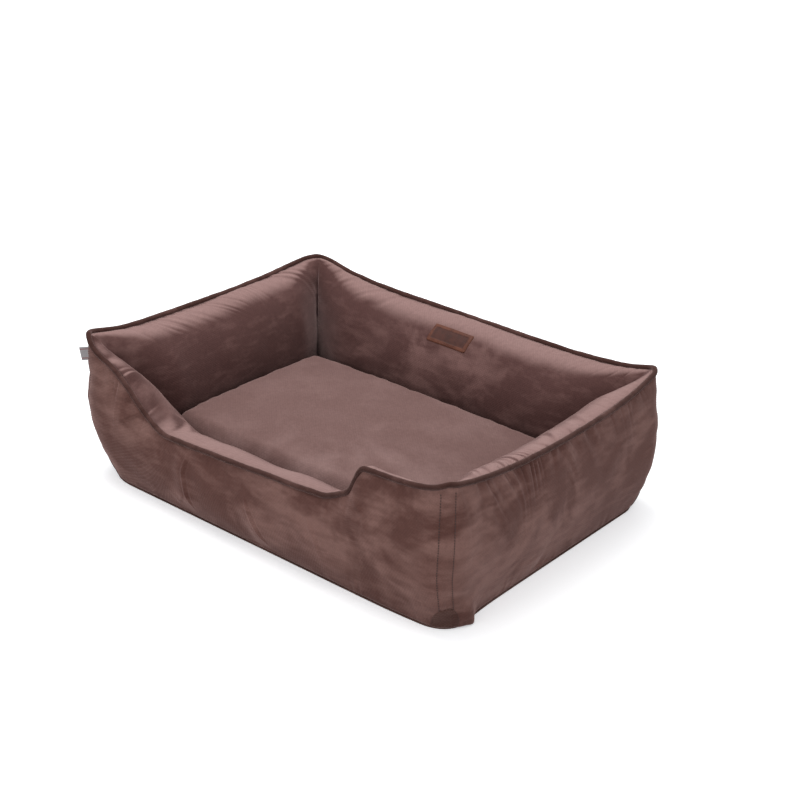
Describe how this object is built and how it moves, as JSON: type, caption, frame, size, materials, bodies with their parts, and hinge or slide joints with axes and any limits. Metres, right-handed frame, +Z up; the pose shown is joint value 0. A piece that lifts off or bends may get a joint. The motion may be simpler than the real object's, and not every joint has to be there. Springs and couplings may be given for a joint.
{
  "type": "pet cushion bed",
  "caption": "Rectangular bolster bed for a dog or cat with stuffed walls, a low front entry, a piped rim and a loose padded cushion with a zipped cover.",
  "frame": {"origin": "middle of the underside of the base panel, on the surface the bed stands on", "axes": "+Z up, +X along the length to the right as seen from the entry, -Y out through the low front entry"},
  "size_m": [0.8865, 0.661, 0.2785],
  "materials": {
    "outer_velour": "short-pile velour, matt with a soft sheen",
    "inner_velour": "short-pile velour, matt with a soft sheen",
    "base_velour": "short-pile velour, matt",
    "floor_cloth": "plain woven lining, matt",
    "piping": "velour over cord, matt",
    "patch_leather": "smooth embossed leather, satin",
    "label_weave": "woven ribbon, matt",
    "cushion_velour": "short-pile velour, matt with a soft sheen",
    "cushion_base_velour": "short-pile velour, matt",
    "wadding": "polyester fibre, matt",
    "zip_tape": "woven ribbon, matt",
    "zip_teeth": "coiled nylon",
    "zip_metal": "dull antique plating"
  },
  "bodies": {
    "bed": {"base_panel": "base_velour", "base_corner_tabs": "base_velour", "floor_panel": "floor_cloth", "outer_panel_front": "outer_velour", "outer_panel_right": "outer_velour", "outer_panel_back": "outer_velour", "outer_panel_left": "outer_velour", "back_zip_facing": "outer_velour", "inner_panel_front": "inner_velour", "inner_panel_right": "inner_velour", "inner_panel_back": "inner_velour", "inner_panel_left": "inner_velour", "bolster_fill_front": "wadding", "bolster_fill_right": "wadding", "bolster_fill_back": "wadding", "bolster_fill_left": "wadding", "rim_piping": "piping", "leather_patch": "patch_leather", "side_label": "label_weave", "wall_zip_tape_upper": "zip_tape", "wall_zip_tape_lower": "zip_tape", "wall_zip_teeth_upper": "zip_teeth", "wall_zip_teeth_lower": "zip_teeth", "wall_zip_stops": "zip_metal"},
    "cushion": {"cushion_cover_top": "cushion_velour", "cushion_cover_bottom": "cushion_base_velour", "cushion_fill": "wadding", "cushion_zip_tape_upper": "zip_tape", "cushion_zip_tape_lower": "zip_tape", "cushion_zip_teeth_upper": "zip_teeth", "cushion_zip_teeth_lower": "zip_teeth", "cushion_zip_stops": "zip_metal"},
    "cushion_zip_slider": {"cushion_zip_slider": "zip_metal"},
    "cushion_zip_pull": {"cushion_zip_pull": "zip_metal"},
    "wall_zip_slider": {"wall_zip_slider": "zip_metal"},
    "wall_zip_pull": {"wall_zip_pull": "zip_metal"}
  },
  "joints": [
    {"name": "cushion_lift", "type": "slide", "parent": "bed", "child": "cushion", "axis": [0, 0, 1], "range_m": [0, 0.3]},
    {"name": "cushion_zip_slide", "type": "slide", "parent": "cushion", "child": "cushion_zip_slider", "axis": [-1, 0, 0], "range_m": [0, 0.399]},
    {"name": "cushion_zip_pull_turn", "type": "hinge", "parent": "cushion_zip_slider", "child": "cushion_zip_pull", "pos_m": [0.1995, 0.20305, 0.0536], "axis": [0, 0, -1], "range_deg": [0, 180]},
    {"name": "wall_zip_slide", "type": "slide", "parent": "bed", "child": "wall_zip_slider", "axis": [-1, 0, 0], "range_m": [0, 0.479]},
    {"name": "wall_zip_pull_turn", "type": "hinge", "parent": "wall_zip_slider", "child": "wall_zip_pull", "pos_m": [0.2395, 0.31676, 0.03489], "axis": [0, -0.2894, -0.9572], "range_deg": [0, 180]}
  ]
}
